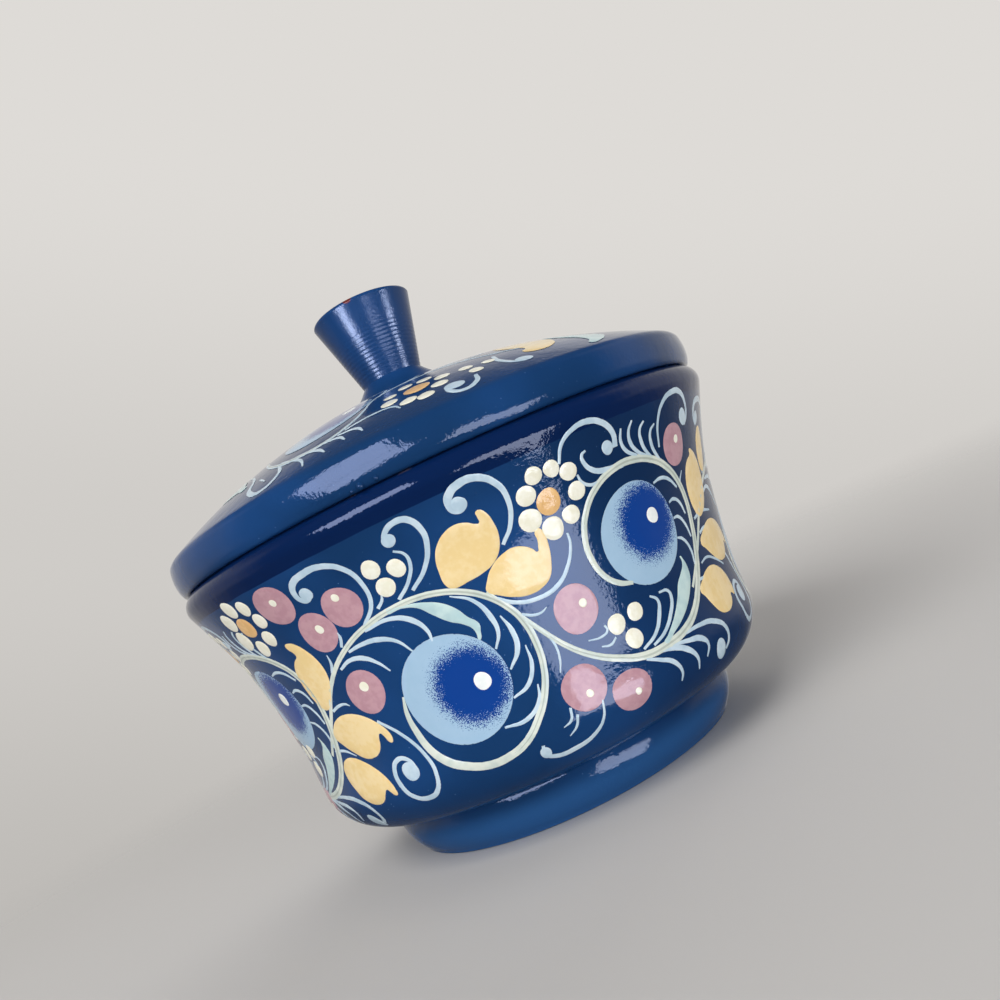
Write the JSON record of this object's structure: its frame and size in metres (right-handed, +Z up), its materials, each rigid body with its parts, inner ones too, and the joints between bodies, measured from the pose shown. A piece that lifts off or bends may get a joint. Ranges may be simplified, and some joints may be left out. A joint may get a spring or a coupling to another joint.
{
  "type": "painted trinket box",
  "caption": "Round turned wooden trinket box: flared bowl on a low foot, loose domed lid with a spigot that seats in the mouth, and a cone knob, all in blue lacquer.",
  "frame": {"origin": "centre of the foot's flat underside", "axes": "+Z up along the axis that all pieces were turned on, -Y towards the viewer of the picture"},
  "size_m": [0.087, 0.087, 0.0815],
  "materials": {
    "blue_lacquer": "deep blue paint on turned wood under a thick high-gloss clear lacquer",
    "bare_wood": "pale turned wood under thin clear varnish, inside the bowl and under the lid",
    "pale_blue_paint": "pale blue-grey brush strokes under clear lacquer",
    "berry_blue_paint": "light blue berries with a stippled dark blue heart under clear lacquer",
    "rose_paint": "dusty rose berries under clear lacquer",
    "yellow_paint": "warm yellow leaf strokes under clear lacquer",
    "orange_paint": "soft orange flower centres under clear lacquer",
    "cream_paint": "cream dots under clear lacquer"
  },
  "bodies": {
    "bowl": {"bowl": "blue_lacquer"},
    "lid": {"lid": "blue_lacquer", "knob": "blue_lacquer"}
  },
  "joints": [
    {"name": "lid_lift", "type": "slide", "parent": "bowl", "child": "lid", "axis": [0, 0, 1], "range_m": [0, 0.07]}
  ]
}
